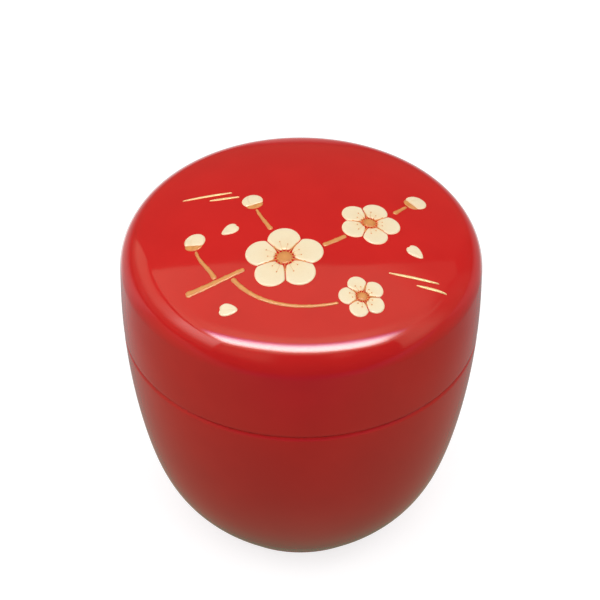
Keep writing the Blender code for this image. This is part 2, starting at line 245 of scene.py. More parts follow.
def vermilion_lacquer(name, edges):
    """Polished vermilion, darkened towards a dark brown along the given edges: at the foot this is wear
    through to the undercoat, along the seam between lid and body it is painted shade.
    """
    material, shader = new_finish(name, VERMILION, 0.07)
    links = material.node_tree.links
    place = own_place(material)
    cloud = spread(material, grain(material, place, 11 * MM, 3.0), 0.35, 0.65, 0.0, 1.0)
    pigment = spread(material, grain(material, place, 0.22 * MM, 2.0), 0.3, 0.7, 0.0, 0.22)
    colour = blended(material, cloud, DEEP_VERMILION, VERMILION)
    colour = blended(material, pigment, colour, DEEP_VERMILION)
    height = material.node_tree.nodes.new("ShaderNodeSeparateXYZ")
    links.new(place, height.inputs["Vector"])
    wear_and_shade_noise = grain(material, place, 1.6 * MM, 4.0)
    # Each edge darkens towards the dark brown in patches: wear at the foot, painted shade at the seam.
    for edge, reach, strength in edges:
        away = computed(material, "ABSOLUTE", computed(material, "SUBTRACT", height.outputs["Z"], edge))
        near = spread(material, away, 0.0, reach, 1.0, 0.0)
        patches = spread(material, wear_and_shade_noise, 0.35, 0.62, strength / 2, strength)
        wear_and_seam_shade = computed(material, "MULTIPLY", near, patches)
        colour = blended(material, wear_and_seam_shade, colour, UNDERCOAT_AND_SEAM_SHADE)
    links.new(colour, shader.inputs["Base Color"])
    smear = grain(material, place, 7 * MM, 3.0)
    scratch = grain(material, place, 0.09 * MM, 1.0, (1.0, 14.0, 5.0))
    rough = computed(
        material, "ADD", spread(material, smear, 0.3, 0.7, 0.055, 0.095),
        spread(material, scratch, 0.62, 0.8, 0.0, 0.05),
    )
    links.new(rough, shader.inputs["Roughness"])
    wave = grain(material, place, 6 * MM, 1.0)
    skin = grain(material, place, 0.9 * MM, 1.0)
    bumped(material, shader, [(wave, 0.006 * MM), (skin, 0.0004 * MM)])
    return material


outside = (FOOT_RADIUS, 0.0, CADDY_RADIUS, GIRTH_HEIGHT)
bore_side = (FLOOR_RADIUS + COAT, FLOOR_HEIGHT - COAT, CHAMBER_RADIUS + COAT, RIM_TOP)
lip_rise = LIP_ROUND * (1.0 - math.sin(math.radians(BODY_EASE_LEAN)))
side = swept_side(outside, FOOT_ROUND, STEP_HEIGHT - lip_rise - BODY_EASE, SIDE_STATIONS)
upper_side = eased(side[-1], side[-3], BODY_EASE, BODY_EASE_LEAN)
ring_inside = FOOT_RADIUS - FOOT_RING_WIDTH
foot_edge = side[0][0]
body_profile = [
    (0.0, FLOOR_HEIGHT - COAT),
    *swept_side(bore_side, FLOOR_HEIGHT - COAT, STEP_HEIGHT, BORE_BACK_STATIONS),
    (CHAMBER_RADIUS + COAT, RIM_TOP - COAT),
    (RIM_RADIUS - COAT, RIM_TOP - COAT),
    (RIM_RADIUS - COAT, STEP_HEIGHT),
    *lip(upper_side[-1], BODY_EASE_LEAN, 90)[::-1],
    *upper_side[::-1],
    *side[::-1],
    *arc((foot_edge - FOOT_ROUND, FOOT_ROUND), FOOT_ROUND, 0, -90, 7)[1:],
    *arc((ring_inside + FOOT_ROUND, FOOT_ROUND), FOOT_ROUND, -90, -160, 6),
    (ring_inside - FOOT_RECESS / 2, FOOT_RECESS),
    (0.0, FOOT_RECESS),
]
body = turn("body_turned_lacquered", body_profile)
# The darkening at the foot is wear; the stronger, even band at the step, along the seam under the lid, is
# painted shade.
body.data.materials.append(
    vermilion_lacquer("vermilion_body", ((0.0, 0.5 * MM, 0.6), (STEP_HEIGHT, 0.9 * MM, 0.36)))
)
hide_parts("body_shell")
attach(body, "body")

# Inner coat of the body: black lacquer over the chamber's floor and wall, round the standing rim and
# down its outside to the step. The rings that the turning tool left show faintly through it.
BLACK = (0.008, 0.007, 0.007)
WORN_BLACK = (0.022, 0.018, 0.016)
RIM_ROUND = 0.5 * MM
FLOOR_ROUND = 2.0 * MM
BORE_STATIONS = 48


def black_lacquer(name):
    """Polished black over faint turning rings, hazed a little where the lid and the scoop rub."""
    material, shader = new_finish(name, BLACK, 0.14)
    links = material.node_tree.links
    place = own_place(material)
    split = material.node_tree.nodes.new("ShaderNodeSeparateXYZ")
    links.new(place, split.inputs["Vector"])
    across = computed(material, "POWER", split.outputs["X"], 2.0)
    along = computed(material, "POWER", split.outputs["Y"], 2.0)
    radius = computed(material, "SQRT", computed(material, "ADD", across, along))
    ring_place = material.node_tree.nodes.new("ShaderNodeCombineXYZ")
    links.new(radius, ring_place.inputs["X"])
    links.new(split.outputs["Z"], ring_place.inputs["Z"])
    rings = grain(material, ring_place.outputs["Vector"], 0.7 * MM, 3.0)
    haze = grain(material, place, 5 * MM, 4.0)
    colour = blended(material, spread(material, haze, 0.45, 0.75, 0.0, 0.8), BLACK, WORN_BLACK)
    links.new(colour, shader.inputs["Base Color"])
    links.new(spread(material, haze, 0.3, 0.7, 0.10, 0.20), shader.inputs["Roughness"])
    wave = grain(material, place, 7 * MM, 1.0)
    bumped(material, shader, [(wave, 0.01 * MM), (rings, 0.002 * MM)])
    return material


chamber = (FLOOR_RADIUS, FLOOR_HEIGHT, CHAMBER_RADIUS, RIM_TOP)
chamber_side = swept_side(chamber, FLOOR_HEIGHT + FLOOR_ROUND / 2, STEP_HEIGHT, BORE_STATIONS)
body_coat_profile = [
    (0.0, FLOOR_HEIGHT),
    (FLOOR_RADIUS - FLOOR_ROUND, FLOOR_HEIGHT),
    (FLOOR_RADIUS - FLOOR_ROUND / 2, FLOOR_HEIGHT + FLOOR_ROUND / 9),
    *chamber_side,
    *arc((CHAMBER_RADIUS + RIM_ROUND, RIM_TOP - RIM_ROUND), RIM_ROUND, 180, 90, 8),
    *arc((RIM_RADIUS - RIM_ROUND, RIM_TOP - RIM_ROUND), RIM_ROUND, 90, 0, 8),
    (RIM_RADIUS, STEP_HEIGHT),
    (RIM_RADIUS - COAT, STEP_HEIGHT),
    (RIM_RADIUS - COAT, RIM_TOP - COAT - RIM_ROUND / 2),
    (RIM_RADIUS - COAT - RIM_ROUND / 2, RIM_TOP - COAT),
    (CHAMBER_RADIUS + COAT + RIM_ROUND / 2, RIM_TOP - COAT),
    (CHAMBER_RADIUS + COAT, RIM_TOP - COAT - RIM_ROUND / 2),
    *swept_side(bore_side, FLOOR_HEIGHT - COAT, STEP_HEIGHT, BORE_STATIONS)[::-1],
    (0.0, FLOOR_HEIGHT - COAT),
]
body_coat = turn("body_inner_black_coat", body_coat_profile)
body_coat.data.materials.append(black_lacquer("black_chamber"))
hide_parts("body_inner_coat")
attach(body_coat, "body")

# Lid: a deep cap turned from the same wood, with a low dome and a rounded shoulder. Its side carries
# the body's sweep on without a break, and its edge comes down to the step with a hairline between.
DOME_STATIONS = 60
SHOULDER_STATIONS = 44
LID_SIDE_STATIONS = 24
CEILING_STATIONS = 24
CORNER_STATIONS = 12
CEILING_TOP = LID_COAT_BOX[1].z
BORE_RADIUS = LID_COAT_BOX[1].x
CEILING_CORNER = 5.25 * MM
COAT_GAP = 0.02 * MM
LID_EASE = 0.8 * MM
LID_EASE_LEAN = -7.5


def crown(side_radius, corner_radius, top, dome_steps, corner_steps):
    """The domed top and its rounded corner, from the axis out to the straight side."""
    dome = top - DOME_CENTRE
    corner = side_radius - corner_radius
    height = DOME_CENTRE + math.sqrt((dome - corner_radius) ** 2 - corner ** 2)
    lean = math.degrees(math.atan2(height - DOME_CENTRE, corner))
    top_arc = arc((0.0, DOME_CENTRE), dome, 90, lean, dome_steps)
    return [(0.0, top)] + top_arc[1:-1] + arc((corner, height), corner_radius, lean, 0, corner_steps)


lip_drop = LIP_ROUND * (1.0 + math.sin(math.radians(LID_EASE_LEAN)))
lid_side = swept_side(outside, LID_EDGE_HEIGHT + lip_drop + LID_EASE, GIRTH_HEIGHT, LID_SIDE_STATIONS)
lower_side = eased(lid_side[0], lid_side[2], -LID_EASE, LID_EASE_LEAN)
bore = BORE_RADIUS + COAT_GAP
ceiling = crown(bore, CEILING_CORNER + COAT_GAP, CEILING_TOP + COAT_GAP, CEILING_STATIONS, CORNER_STATIONS)
lid_profile = [
    *crown(CADDY_RADIUS, SHOULDER_RADIUS, CADDY_HEIGHT, DOME_STATIONS, SHOULDER_STATIONS),
    *lid_side[::-1],
    *lower_side,
    *lip(lower_side[-1], LID_EASE_LEAN, -90),
    (bore, LID_EDGE_HEIGHT),
    *ceiling[::-1],
]
lid = turn("lid_turned_lacquered", lid_profile)
# The darkening along the lid's lower edge is painted shade at the seam.
lid.data.materials.append(vermilion_lacquer("vermilion_lid", ((LID_EDGE_HEIGHT, 0.5 * MM, 0.08),)))
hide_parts("lid_shell")
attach(lid, "lid")

# Inner coat of the lid: the same black lacquer over its ceiling and bore, ending flush with its edge.
CEILING_FACE = CEILING_TOP - COAT
BORE_FACE = BORE_RADIUS - COAT
FACE_STATIONS = 30
FACE_CORNER_STATIONS = 16
lid_coat_profile = [
    *crown(BORE_RADIUS, CEILING_CORNER, CEILING_TOP, CEILING_STATIONS, CORNER_STATIONS),
    (BORE_RADIUS, LID_EDGE_HEIGHT),
    (BORE_FACE, LID_EDGE_HEIGHT),
    *crown(BORE_FACE, CEILING_CORNER - COAT, CEILING_FACE, FACE_STATIONS, FACE_CORNER_STATIONS)[::-1],
]
lid_coat = turn("lid_inner_black_coat", lid_coat_profile)
lid_coat.data.materials.append(black_lacquer("black_lid"))
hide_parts("lid_inner_coat")
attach(lid_coat, "lid_carrier")

# Blossoms: plum flowers in raised lacquer, built up under a cream coat. Each petal is its own island,
# rounded at its edge and hollowed a little, and the vermilion shows in the fine gaps between petals.
BLOSSOMS = {
    "large": ((-0.090, -0.360), 7.2 * MM, 20.0),
    "middle": ((0.370, -0.060), 5.6 * MM, 0.0),
    "small": ((0.330, -0.600), 4.3 * MM, 40.0),
}
PETALS = 5
LOBE_REACH = 0.58
EYE_SHARE = 0.2
PETAL_GAP = 0.16 * MM
RELIEF = 0.22 * MM
RELIEF_EDGE = 0.28 * MM
RELIEF_ROOT = 0.03 * MM
EYE_MARGIN = 0.35 * MM
PETAL_ROWS = 24
PETAL_COLUMNS = 32
PETAL_HOLLOW = 0.16
WARM_EDGE = 0.3 * MM
CREAM = (0.90, 0.76, 0.52)
WARM_CREAM = (0.88, 0.66, 0.38)


def lid_height(distance):
    """The height of the lid's outside at a distance from the axis."""
    if distance < DOME_RADIUS * SHOULDER_CENTRE / (DOME_RADIUS - SHOULDER_RADIUS):
        return DOME_CENTRE + math.sqrt(DOME_RADIUS ** 2 - distance ** 2)
    return SHOULDER_HEIGHT + math.sqrt(SHOULDER_RADIUS ** 2 - (distance - SHOULDER_CENTRE) ** 2)


def on_lid(plan, lift):
    """A point over a plan place, lifted off the lid."""
    return (plan[0], plan[1], lid_height(math.hypot(*plan)) + lift)


def rounded(distance, edge):
    """How far a raised field has come up to its full height at a distance in from its edge."""
    share = min(max(distance / edge, 0.0), 1.0)
    return math.sqrt(1.0 - (1.0 - share) ** 2)


def relief_grid(shape, tone, rows):
    """Add a patch of relief. Rows hold (plan place, lift, tone) and the patch gets a skirt all round."""
    made = []
    for row in rows:
        verts = []
        for plan, lift, value in row:
            vert = shape.verts.new(on_lid(plan, lift))
            vert[tone] = value
            verts.append(vert)
        made.append(verts)
    for lower, upper in zip(made, made[1:]):
        for i in range(len(lower) - 1):
            shape.faces.new((lower[i], lower[i + 1], upper[i + 1], upper[i]))
    last_column = [row[-1] for row in made[:-1]]
    first_column = [row[0] for row in made[:0:-1]]
    border = made[0][:-1] + last_column + made[-1][:0:-1] + first_column
    roots = []
    for vert in border:
        root = shape.verts.new(on_lid((vert.co.x, vert.co.y), -RELIEF_ROOT))
        root[tone] = vert[tone]
        roots.append(root)
    for i in range(len(border)):
        after = (i + 1) % len(border)
        shape.faces.new((border[after], border[i], roots[i], roots[after]))
    shape.faces.new(roots[::-1])


def relief_piece(name, shape, material, node):
    """Finish a relief mesh as an object on the lid, in place of its CAD node where it has one."""
    bmesh.ops.recalc_face_normals(shape, faces=shape.faces)
    mesh = bpy.data.meshes.new(name)
    shape.to_mesh(mesh)
    shape.free()
    mesh.shade_smooth()
    mesh.set_sharp_from_angle(angle=math.radians(60.0))
    mesh.materials.append(material)
    piece = bpy.data.objects.new(name, mesh)
    bpy.context.collection.objects.link(piece)
    if node:
        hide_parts(node)
    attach(piece, "lid")
    return piece


def new_relief():
    """An empty relief mesh, and the tone that is painted on its points."""
    shape = bmesh.new()
    return shape, shape.verts.layers.float.new("tone")


def relief_lacquer(name, light, deep, metallic):
    """Satin raised lacquer, deeper where the tone painted on the mesh is high, with a fine powder grain."""
    material, shader = new_finish(name, light, 0.32)
    links = material.node_tree.links
    shader.inputs["Metallic"].default_value = metallic
    place = own_place(material)
    tone = material.node_tree.nodes.new("ShaderNodeAttribute")
    tone.attribute_name = "tone"
    powder = grain(material, place, 0.16 * MM, 2.0)
    brushed = grain(material, place, 1.8 * MM, 3.0)
    brushing = spread(material, brushed, 0.3, 0.7, -0.06, 0.10)
    uneven = computed(material, "ADD", tone.outputs["Fac"], brushing)
    colour = blended(material, spread(material, uneven, 0.0, 1.0, 0.0, 1.0), light, deep)
    darker = tuple(0.82 * part for part in deep)
    colour = blended(material, spread(material, powder, 0.55, 0.75, 0.0, 0.25), colour, darker)
    links.new(colour, shader.inputs["Base Color"])
    links.new(spread(material, powder, 0.3, 0.7, 0.26, 0.42), shader.inputs["Roughness"])
    bumped(material, shader, [(brushed, 0.012 * MM), (powder, 0.004 * MM)])
    return material


def plan_place(shares):
    """A plan place given in shares of the caddy's radius."""
    return (shares[0] * CADDY_RADIUS, shares[1] * CADDY_RADIUS)


def polar(centre, distance, angle):
    """The plan place at a distance and an angle from a centre."""
    return (centre[0] + distance * math.cos(angle), centre[1] + distance * math.sin(angle))


def beside(centre, aim, ahead, aside):
    """The plan place so far ahead of a centre along an aim, and so far to the left of that line."""
    forward = (math.cos(aim), math.sin(aim))
    return (
        centre[0] + forward[0] * ahead - forward[1] * aside,
        centre[1] + forward[1] * ahead + forward[0] * aside,
    )


cream = relief_lacquer("cream_relief_lacquer", CREAM, WARM_CREAM, 0.0)
half_petal = math.pi / PETALS
for blossom, (shares, blossom_radius, turn_degrees) in BLOSSOMS.items():
    centre = plan_place(shares)
    base = EYE_SHARE * blossom_radius + EYE_MARGIN
    reach = LOBE_REACH * blossom_radius
    lobe = blossom_radius - reach
    shape, tone = new_relief()
    for petal in range(PETALS):
        middle = math.radians(turn_degrees) + 2 * half_petal * petal
        rows = []
        for j in range(PETAL_ROWS + 1):
            row = []
            for i in range(PETAL_COLUMNS + 1):
                across_share = 2 * i / PETAL_COLUMNS - 1
                swing = half_petal * across_share
                rim = reach * math.cos(swing) + math.sqrt(lobe ** 2 - (reach * math.sin(swing)) ** 2)
                share = 1.0 - (1.0 - j / PETAL_ROWS) ** 1.3
                distance = base + share * (rim - base)
                room = half_petal - math.asin(min(PETAL_GAP / 2 / distance, 0.9))
                claw = 0.62 + 0.38 * rounded(distance - base, 0.45 * (rim - base))
                angle = room * claw * across_share
                edge = min(
                    distance * room * claw * (1.0 - abs(across_share)), rim - distance, distance - base,
                )
                hollow = PETAL_HOLLOW * math.exp(-((share - 0.55) / 0.22) ** 2) * (1.0 - across_share ** 2)
                lift = RELIEF * rounded(edge, RELIEF_EDGE) * (1.0 - hollow)
                warm = 0.75 * (1.0 - share) ** 2 + 0.7 * (1.0 - rounded(edge, WARM_EDGE))
                row.append((polar(centre, distance, middle + angle), lift, min(warm, 1.0)))
            rows.append(row)
        relief_grid(shape, tone, rows)
    node = "blossom_" + blossom
    relief_piece(node + "_petals", shape, cream, node)

# Eyes and stamens: a small tan boss in the middle of each flower, and fine threads with round tips
# drawn out from it over the petals in the same tan lacquer.
EYE_HEIGHT = 0.26 * MM
STAMENS = 15
STAMEN_TIPS = (0.40, 0.50)
THREAD_STATIONS = 7
THREAD_WIDTH = 0.13 * MM
ANTHER_RADIUS = 0.20 * MM
THREAD_LIFT = 0.05 * MM
TAN = (0.75, 0.32, 0.085)
DEEP_TAN = (0.60, 0.21, 0.05)

tan = relief_lacquer("tan_relief_lacquer", TAN, DEEP_TAN, 0.0)


def relief_disc(shape, tone, centre, radius, height, spokes, rings, warm):
    """A round boss: flat rings from its rounded edge to its middle."""
    rows = []
    for j in range(rings + 1):
        distance = radius * (1.0 - j / rings) + 0.004 * MM
        lift = height * rounded(radius - distance, 0.7 * radius)
        rows.append([
            (polar(centre, distance, 2 * math.pi * i / spokes), lift, warm * distance / radius)
            for i in range(spokes + 1)
        ])
    relief_grid(shape, tone, rows)


def relief_ribbon(shape, tone, path, widths, heights, across_steps, warm):
    """A rounded line along a plan path, as wide and as high as each of its stations says."""
    rows = []
    for i, point in enumerate(path):
        before = path[max(i - 1, 0)]
        after = path[min(i + 1, len(path) - 1)]
        length = math.hypot(after[0] - before[0], after[1] - before[1])
        side_x = -(after[1] - before[1]) / length
        side_y = (after[0] - before[0]) / length
        row = []
        for j in range(across_steps + 1):
            share = 2 * j / across_steps - 1
            offset = -share * widths[i] / 2
            plan = (point[0] + side_x * offset, point[1] + side_y * offset)
            row.append((plan, heights[i] * math.sqrt(max(1.0 - share ** 2, 0.0)), warm * abs(share)))
        rows.append(row)
    relief_grid(shape, tone, rows)


for blossom, (shares, blossom_radius, turn_degrees) in BLOSSOMS.items():
    centre = plan_place(shares)
    eye_radius = EYE_SHARE * blossom_radius
    eye, tone = new_relief()
    relief_disc(eye, tone, centre, eye_radius, EYE_HEIGHT, 48, 12, 0.8)
    relief_piece("eye_" + blossom + "_boss", eye, tan, "eye_" + blossom)
    threads, tone = new_relief()
    for i in range(STAMENS):
        angle = math.radians(turn_degrees) + 2 * math.pi * (i + 0.5) / STAMENS
        tip = STAMEN_TIPS[i % 2] * blossom_radius
        root = eye_radius * 0.9
        lift = RELIEF + THREAD_LIFT * 0.4
        steps = [root + (tip - root) * k / (THREAD_STATIONS - 1) for k in range(THREAD_STATIONS)]
        path = [polar(centre, distance, angle) for distance in steps]
        widths = [THREAD_WIDTH] * THREAD_STATIONS
        relief_ribbon(threads, tone, path, widths, [lift] * THREAD_STATIONS, 4, 0.5)
        anther = polar(centre, tip + ANTHER_RADIUS * 0.7, angle)
        relief_disc(threads, tone, anther, ANTHER_RADIUS, RELIEF + THREAD_LIFT, 14, 4, 0.3)
    relief_piece("stamens_" + blossom, threads, tan, None)

# Buds: closed flowers, one rounded cream bead each, held in a small tan calyx of two sepals.
BUDS = {"tip": ((0.630, 0.200), 46.0), "left": ((-0.580, -0.170), 80.0), "back": ((-0.270, 0.110), 109.0)}
BUD_RADIUS = 1.9 * MM
BUD_OPENING = math.radians(125.0)
BUD_ROWS = 28
BUD_COLUMNS = 24
BUD_EDGE = 0.8 * MM
CREASE_WIDTH = 0.09 * MM
CALYX_DEPTH = 1.2 * MM
CALYX_GAP = 0.1 * MM
CALYX_ROWS = 14
CALYX_COLUMNS = 16

for bud, (shares, turn_degrees) in BUDS.items():
    centre = plan_place(shares)
    aim = math.radians(turn_degrees)
    cut = BUD_RADIUS * math.cos(BUD_OPENING)
    shape, tone = new_relief()
    rows = []
    for j in range(BUD_ROWS + 1):
        place_along = cut + (BUD_RADIUS - cut) * (1.0 - (1.0 - j / BUD_ROWS) ** 1.5) * 0.9995
        half_width = math.sqrt(BUD_RADIUS ** 2 - place_along ** 2)
        row = []
        for i in range(BUD_COLUMNS + 1):
            share = 2 * i / BUD_COLUMNS - 1
            offset = -share * half_width
            edge = min(BUD_RADIUS - math.hypot(place_along, offset), place_along - cut)
            fold = abs(offset - 0.32 * BUD_RADIUS * math.cos(place_along / BUD_RADIUS * 1.3))
            crease = math.exp(-(fold / CREASE_WIDTH) ** 2)
            lift = RELIEF * rounded(edge, BUD_EDGE) * (1.0 - 0.35 * crease)
            warm = 0.55 * crease + 0.8 * (1.0 - rounded(edge, WARM_EDGE)) + 0.3 * (1.0 - j / BUD_ROWS) ** 2
            row.append((beside(centre, aim, place_along, offset), lift, min(warm, 1.0)))
        rows.append(row)
    relief_grid(shape, tone, rows)
    relief_piece("bud_" + bud + "_bead", shape, cream, "bud_" + bud)

    shape, tone = new_relief()
    half_width = BUD_RADIUS * math.sin(BUD_OPENING)
    rows = []
    for j in range(CALYX_ROWS + 1):
        swing = math.pi / 2 * j / CALYX_ROWS * 0.995
        row = []
        for i in range(CALYX_COLUMNS + 1):
            share = 2 * i / CALYX_COLUMNS - 1
            place_along = cut - CALYX_GAP - CALYX_DEPTH * math.sin(swing)
            offset = -share * half_width * math.cos(swing)
            lobe_lift = 0.8 + 0.2 * abs(math.sin(math.pi * share))
            in_from_side = (1.0 - abs(share)) * half_width * math.cos(swing)
            edge = min(in_from_side, CALYX_DEPTH * math.sin(swing) + 0.05 * MM)
            lift = RELIEF * rounded(edge, 0.3 * MM) * lobe_lift
            row.append((beside(centre, aim, place_along, offset), lift, 0.6 * (1.0 - lobe_lift) * 5))
        rows.append(row)
    relief_grid(shape, tone, rows)
    relief_piece("calyx_" + bud + "_cup", shape, tan, "calyx_" + bud)

# Fallen petals: single petals lying on the ground colour, notched at their round end.
FALLEN = {
    "left": ((-0.390, -0.120), 34.0),
    "front": ((-0.390, -0.680), 172.0),
    "right": ((0.620, -0.230), 138.0),
}
PETAL_LENGTH = 3.4 * MM
PETAL_WIDTH = 2.4 * MM
PETAL_SWELL = 0.35
NOTCH = 0.22 * MM
FALLEN_RINGS = 12
FALLEN_SPOKES = 48
FALLEN_EDGE = 0.35 * MM
VEIN_WIDTH = 0.12 * MM

for fallen, (shares, turn_degrees) in FALLEN.items():
    centre = plan_place(shares)
    aim = math.radians(turn_degrees)
    shape, tone = new_relief()
    rows = []
    for j in range(FALLEN_RINGS + 1):
        ring_share = 1.0 - j / FALLEN_RINGS * 0.995
        row = []
        for i in range(FALLEN_SPOKES + 1):
            swing = -2 * math.pi * i / FALLEN_SPOKES
            swell = 1.0 + PETAL_SWELL * math.cos(swing)
            notch = NOTCH * math.exp(-(math.sin(swing / 2) / 0.10) ** 2)
            place_along = (PETAL_LENGTH / 2 * math.cos(swing) - notch) * ring_share
            offset = PETAL_WIDTH / 2 * math.sin(swing) * swell * ring_share
            edge = (1.0 - ring_share) * PETAL_WIDTH / 2
            vein = math.exp(-(offset / VEIN_WIDTH) ** 2) * (1.0 if place_along < 0 else 0.4)
            lift = RELIEF * rounded(edge, FALLEN_EDGE) * (1.0 - 0.12 * vein)
            warm = 0.7 * (1.0 - rounded(edge, WARM_EDGE)) + 0.35 * vein
            row.append((beside(centre, aim, place_along, offset), lift, min(warm, 1.0)))
        rows.append(row)
    relief_grid(shape, tone, rows)
    relief_piece("petal_" + fallen + "_fallen", shape, cream, "petal_" + fallen)

# Twigs: the stem and its branches, brushed in tan lacquer in one stroke each, thicker at the knots.
STEM_PLACES = ((-0.620, -0.545), (-0.420, -0.500), (-0.300, -0.400), (-0.090, -0.360))
TWIG_PLACES = {
    "left": ((-0.50, -0.36), (-0.58, -0.34)),
    "front": ((-0.26, -0.68), (0.02, -0.76)),
    "middle": ((0.06, -0.30), (0.20, -0.25)),
    "tip": ((0.48, 0.00), (0.52, 0.08)),
    "back": ((-0.12, -0.16), (-0.22, -0.10)),
}
LEFT_FORK = 0.30
FRONT_FORK = 0.45
STEM_WIDTH = 1.5 * MM
TWIG_WIDTH = 1.0 * MM
TWIG_TIP_WIDTH = 0.55 * MM
RELIEF_SPACING = 0.3 * MM
CURVE_SAMPLES = 400
TWIG_STEP = 0.12 * MM
KNOT_SPACING = 2.3 * MM
KNOT_START = 0.6 * MM
KNOT_LENGTH = 0.28 * MM
BLUNT_END = 0.35 * MM


def curve_point(controls, share):
    """A point on the cubic Bezier curve of four plan places."""
    left = 1.0 - share
    weights = (left ** 3, 3 * left ** 2 * share, 3 * left * share ** 2, share ** 3)
    return tuple(sum(w * c[axis] for w, c in zip(weights, controls)) for axis in (0, 1))


def twig(name, controls, stops, widths):
    """One brushed stroke, left out inside its stops and swelling a little at each knot."""
    path = [curve_point(controls, i / CURVE_SAMPLES) for i in range(CURVE_SAMPLES + 1)]
    for centre, radius in stops:
        path = [p for p in path if math.hypot(p[0] - centre[0], p[1] - centre[1]) > radius + RELIEF_SPACING]
    length = sum(math.hypot(b[0] - a[0], b[1] - a[1]) for a, b in zip(path, path[1:]))
    stations = max(int(length / TWIG_STEP), 12)
    picked = [path[round(i * (len(path) - 1) / stations)] for i in range(stations + 1)]
    line_widths = []
    heights = []
    for i in range(stations + 1):
        share = i / stations
        run = share * length
        past_knot = (run + KNOT_START) % KNOT_SPACING - KNOT_SPACING / 2
        knot = math.exp(-(past_knot / KNOT_LENGTH) ** 2)
        blunt = rounded(min(run, length - run) + 0.02 * MM, BLUNT_END)
        width = widths[0] + (widths[1] - widths[0]) * share
        line_widths.append(width * (0.86 + 0.14 * knot) * (0.35 + 0.65 * blunt))
        heights.append(RELIEF * (0.82 + 0.18 * knot) * blunt)
    shape, tone = new_relief()
    relief_ribbon(shape, tone, picked, line_widths, heights, 10, 0.9)
    relief_piece("twig_" + name + "_stroke", shape, tan, "twig_" + name)


def blossom_stop(name):
    """Where a twig stops at a blossom: its centre and its radius."""
    shares, radius, _ = BLOSSOMS[name]
    return plan_place(shares), radius


def bud_stop(name):
    """Where a twig stops at a bud: its centre, and how far its calyx reaches."""
    return plan_place(BUDS[name][0]), BUD_RADIUS * abs(math.cos(BUD_OPENING)) + CALYX_GAP + CALYX_DEPTH


stem = [plan_place(shares) for shares in STEM_PLACES]
fork_reach = STEM_WIDTH / 2 - RELIEF_SPACING
left_fork = (curve_point(stem, LEFT_FORK), fork_reach)
front_fork = (curve_point(stem, FRONT_FORK), fork_reach)
large = blossom_stop("large")
twig("stem", stem, [large], (STEM_WIDTH, TWIG_WIDTH))
for branch, start, end, tip_width in (
    ("left", left_fork, bud_stop("left"), TWIG_TIP_WIDTH),
    ("front", front_fork, blossom_stop("small"), TWIG_TIP_WIDTH),
    ("middle", large, blossom_stop("middle"), TWIG_WIDTH),
    ("tip", blossom_stop("middle"), bud_stop("tip"), TWIG_TIP_WIDTH),
    ("back", large, bud_stop("back"), TWIG_TIP_WIDTH),
):
    controls = [start[0], *(plan_place(shares) for shares in TWIG_PLACES[branch]), end[0]]
    twig(branch, controls, [start, end, large], (TWIG_WIDTH, tip_width))

# Mist: bars of drifting haze, drawn as slender straight lines in pale gold powder.
MIST = {"back": (-0.520, 0.210), "right": (0.610, -0.420)}
MIST_BARS = {"upper": (1.0, 0.0, 0.0), "lower": (0.6, 0.35, 1.0)}
MIST_WIDTH = 0.55 * MM
MIST_LENGTH = 9.0 * MM
MIST_STEP = 1.6 * MM
MIST_NARROWING = 0.7
MIST_STATIONS = 60
PALE_GOLD = (0.89, 0.66, 0.33)
DEEP_GOLD = (0.80, 0.48, 0.19)

gold = relief_lacquer("pale_gold_relief_lacquer", PALE_GOLD, DEEP_GOLD, 0.15)
for mist, shares in MIST.items():
    centre = plan_place(shares)
    for bar, (length, shift, drop) in MIST_BARS.items():
        steps = [2 * i / MIST_STATIONS - 1 for i in range(MIST_STATIONS + 1)]
        start_x = centre[0] + shift * MIST_LENGTH
        bar_y = centre[1] - drop * MIST_STEP
        path = [(start_x + length * MIST_LENGTH / 2 * step, bar_y) for step in steps]
        widths = [MIST_WIDTH * (1.0 - MIST_NARROWING * abs(step) ** 3) for step in steps]
        heights = [0.8 * RELIEF * rounded(1.0 - abs(step) + 0.002, 0.06) for step in steps]
        shape, tone = new_relief()
        relief_ribbon(shape, tone, path, widths, heights, 8, 0.8)
        node = "mist_" + mist + "_" + bar
        relief_piece(node + "_line", shape, gold, node)

# Floor: a pale sweep of paper. It keeps the caddy's shadow and runs up to white for the eye.
FLOOR_SIZE = 6.0
FLOOR_DROP = 0.05 * MM
PAPER = (0.93, 0.93, 0.93)
PAPER_BOUNCE = (0.08, 0.08, 0.08)
PAPER_LIFT = 0.6
PAPER_GLOW = 1.25
floor_mesh = bpy.data.meshes.new("paper_floor")
half = FLOOR_SIZE / 2
corners = [(-half, -half, 0), (half, -half, 0), (half, half, 0), (-half, half, 0)]
floor_mesh.from_pydata(corners, [], [(0, 1, 2, 3)])
floor = bpy.data.objects.new("paper_floor", floor_mesh)
bpy.context.collection.objects.link(floor)
floor.location.z = -FLOOR_DROP
paper, paper_shader = new_finish("white_paper", PAPER, 0.7)
paper_shader.inputs["Specular IOR Level"].default_value = 0.0
floor_mesh.materials.append(paper)


def seen_by(tree):
    """1 for rays of the camera, of mirrors and through glass, which see the white background."""
    path = tree.nodes.new("ShaderNodeLightPath")
    total = path.outputs["Is Camera Ray"]
    for output in ("Is Glossy Ray", "Is Transmission Ray"):
        step = tree.nodes.new("ShaderNodeMath")
        step.operation = "MAXIMUM"
        tree.links.new(total, step.inputs[0])
        tree.links.new(path.outputs[output], step.inputs[1])
        total = step.outputs["Value"]
    return total


tree = paper.node_tree
seen = seen_by(tree)
tree.links.new(blended(paper, seen, PAPER_BOUNCE, PAPER), paper_shader.inputs["Base Color"])
white = tree.nodes.new("ShaderNodeEmission")
white.inputs["Strength"].default_value = PAPER_GLOW
mix = tree.nodes.new("ShaderNodeMixShader")
tree.links.new(computed(paper, "MULTIPLY", seen, PAPER_LIFT), mix.inputs["Fac"])
tree.links.new(paper_shader.outputs["BSDF"], mix.inputs[1])
tree.links.new(white.outputs["Emission"], mix.inputs[2])
tree.links.new(mix.outputs["Shader"], tree.nodes["Material Output"].inputs["Surface"])

